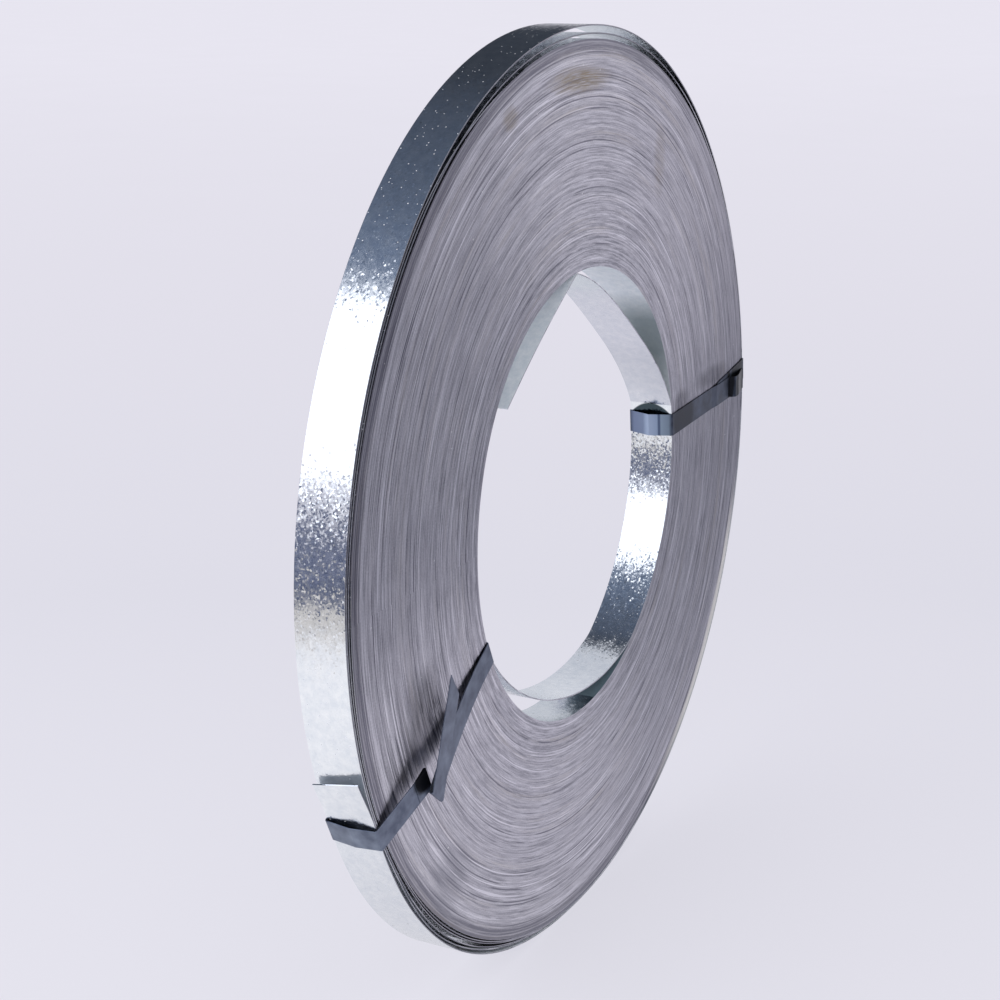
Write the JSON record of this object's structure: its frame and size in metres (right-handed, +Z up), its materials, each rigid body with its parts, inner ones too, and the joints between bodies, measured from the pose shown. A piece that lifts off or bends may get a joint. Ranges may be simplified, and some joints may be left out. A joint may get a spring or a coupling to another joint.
{
  "type": "steel coil",
  "caption": "Coil of galvanised steel strip standing on its rim, with a sprung outer turn, a sprung inner turn and folded steel binding straps.",
  "frame": {"origin": "on the floor, in the middle of the whole part's footprint", "axes": "+Z up, the coil's axis along Y with the end that carries the strap joints toward -Y, +X to the right as that end is seen"},
  "size_m": [0.5929, 0.0474, 0.5945],
  "materials": {
    "galvanised_strip": "hot-dip galvanised, fine spangle, slit edges dull",
    "binding_steel": "dark blued strapping steel"
  },
  "bodies": {
    "root": {"strip_coil": "galvanised_strip", "binding_strap_lower": "binding_steel", "binding_strap_upper": "binding_steel"}
  },
  "joints": []
}
